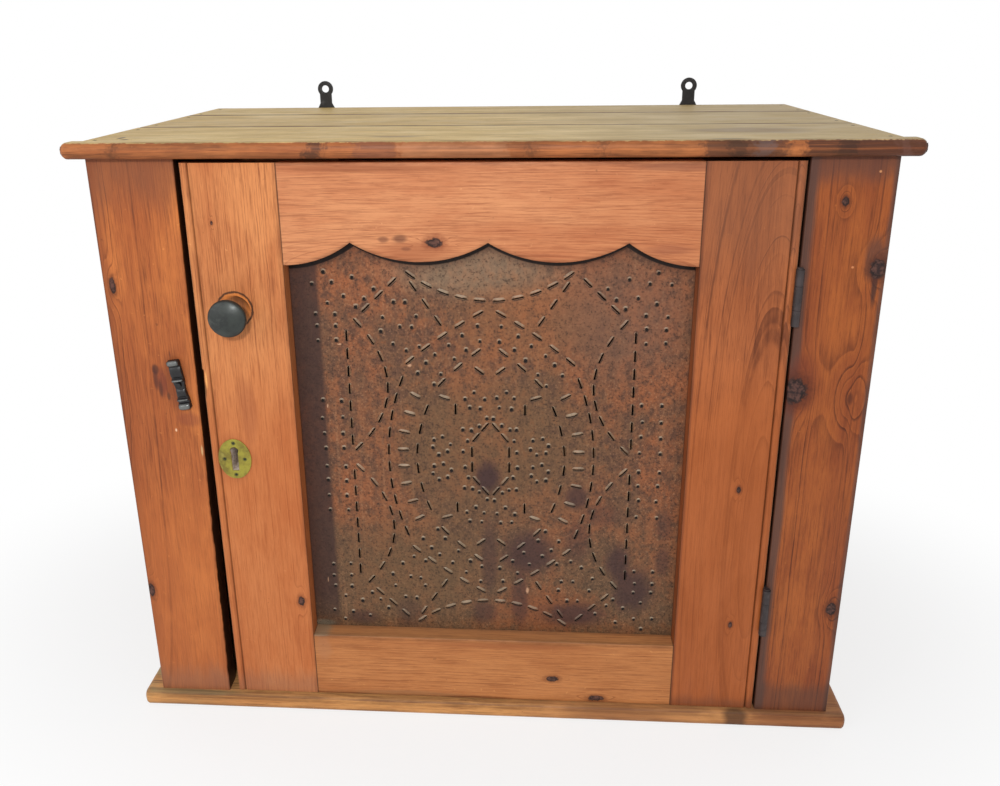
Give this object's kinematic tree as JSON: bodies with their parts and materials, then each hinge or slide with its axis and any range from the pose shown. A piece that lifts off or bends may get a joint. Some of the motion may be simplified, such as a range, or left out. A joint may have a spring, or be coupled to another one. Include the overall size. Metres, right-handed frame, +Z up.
{
  "type": "pie safe",
  "caption": "Wall-hung pine pie safe: one mortised door round a pierced tin panel, with knob, rim lock, turn button and hanging plates.",
  "frame": {"origin": "middle of the case's footprint (without overhangs), on the underside of the bottom boards", "axes": "+Z up, +X to the right of someone facing the door, -Y towards them"},
  "size_m": [0.85, 0.4225, 0.733],
  "materials": {
    "top_pine": "worn, bleached and waxed",
    "base_pine": "waxed, darkened edge",
    "case_pine": "waxed orange-brown",
    "door_pine": "waxed orange-brown",
    "inner_pine": "bare, aged",
    "rusted_tin": "old rust-brown finish, mottled",
    "knob_iron": "dark, polished by handling",
    "aged_brass": "tarnished",
    "black_iron": "black, satin",
    "dark_steel": "darkened with age"
  },
  "bodies": {
    "case": {"top_board_front": "top_pine", "top_board_middle": "top_pine", "top_board_back": "top_pine", "bottom_board_front": "base_pine", "bottom_board_back": "base_pine", "side_board_left_front": "case_pine", "side_board_left_back": "case_pine", "side_board_right_front": "case_pine", "side_board_right_back": "case_pine", "back_board_1": "inner_pine", "back_board_2": "inner_pine", "back_board_3": "inner_pine", "back_board_4": "inner_pine", "face_stile_left": "case_pine", "face_stile_right": "case_pine", "shelf_board_front": "inner_pine", "shelf_board_back": "inner_pine", "shelf_cleat_left": "inner_pine", "shelf_cleat_right": "inner_pine", "door_stop": "inner_pine", "top_nails": "dark_steel", "bottom_nails": "dark_steel", "back_nails": "dark_steel", "cleat_nails": "dark_steel", "stop_nails": "dark_steel", "hanging_plates": "black_iron", "hanging_plate_screws": "black_iron", "hinge_case_leaves": "dark_steel", "hinge_case_screws": "dark_steel", "hinge_pins": "dark_steel", "turn_button_screw": "black_iron"},
    "door": {"door_stile_left": "door_pine", "door_stile_right": "door_pine", "door_rail_top": "door_pine", "door_rail_bottom": "door_pine", "tin_panel": "rusted_tin", "tin_tacks": "dark_steel", "knob": "knob_iron", "knob_screw": "dark_steel", "escutcheon": "aged_brass", "escutcheon_pins": "dark_steel", "lock_plate": "dark_steel", "lock_cover": "dark_steel", "lock_pins": "dark_steel", "lock_spring": "dark_steel", "lock_screws": "dark_steel", "hinge_door_leaves": "dark_steel", "hinge_door_screws": "dark_steel"},
    "lock_bolt": {"lock_bolt": "dark_steel"},
    "turn_button": {"turn_button": "black_iron"}
  },
  "joints": [
    {"name": "door_hinge", "type": "hinge", "parent": "case", "child": "door", "pos_m": [0.3187, -0.1998, 0.348], "axis": [0, 0, 1], "range_deg": [0, 175]},
    {"name": "lock_bolt_slide", "type": "slide", "parent": "door", "child": "lock_bolt", "axis": [-1, 0, 0], "range_m": [0, 0.014]},
    {"name": "turn_button_pivot", "type": "hinge", "parent": "case", "child": "turn_button", "pos_m": [-0.3331, -0.1998, 0.4315], "axis": [0, 1, 0], "continuous": true}
  ]
}
